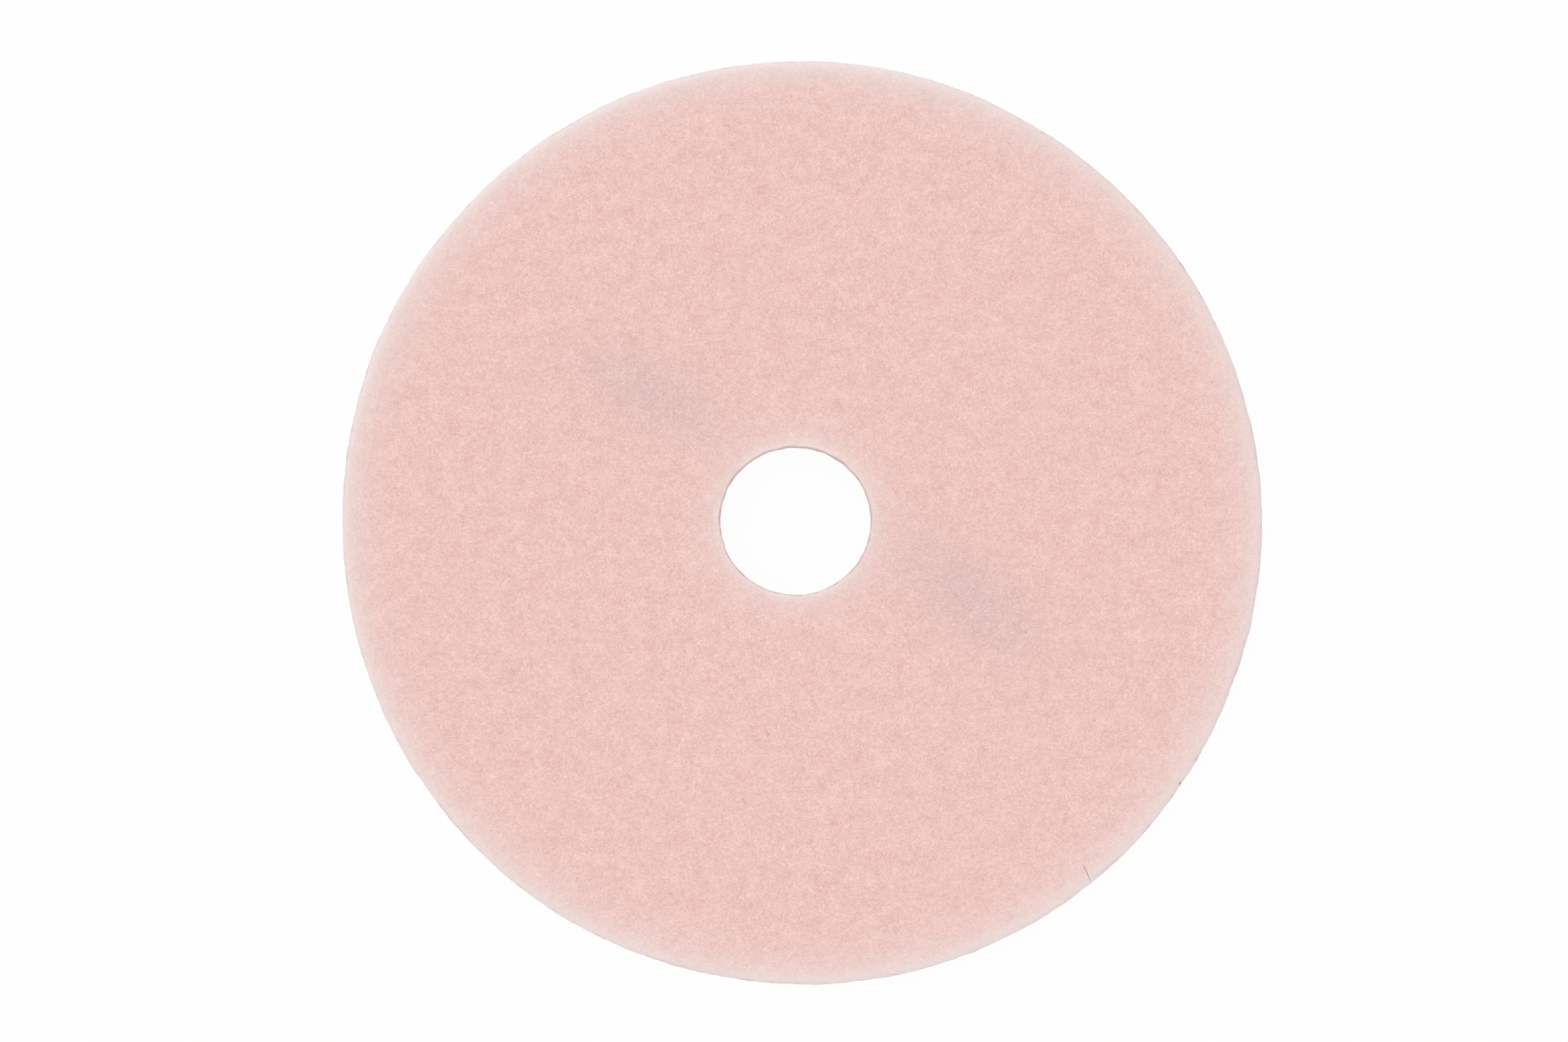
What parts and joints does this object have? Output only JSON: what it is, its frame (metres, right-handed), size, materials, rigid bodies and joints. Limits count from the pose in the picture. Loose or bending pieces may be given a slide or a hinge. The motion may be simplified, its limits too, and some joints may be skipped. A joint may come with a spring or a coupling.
{
  "type": "floor polishing pad",
  "caption": "Flat round floor pad of soft non-woven fibre web, with a punched hole in the middle and rolled-over cut edges.",
  "frame": {"origin": "on the lower face's plane, under the middle of the rim", "axes": "+Z through the thickness, out of the upper face; seen from above, +X is right and +Y is up as in the picture"},
  "size_m": [0.508, 0.508, 0.0254],
  "materials": {
    "web": "matte, pale pink bonded fibre"
  },
  "bodies": {
    "root": {"pad": "web"}
  },
  "joints": []
}
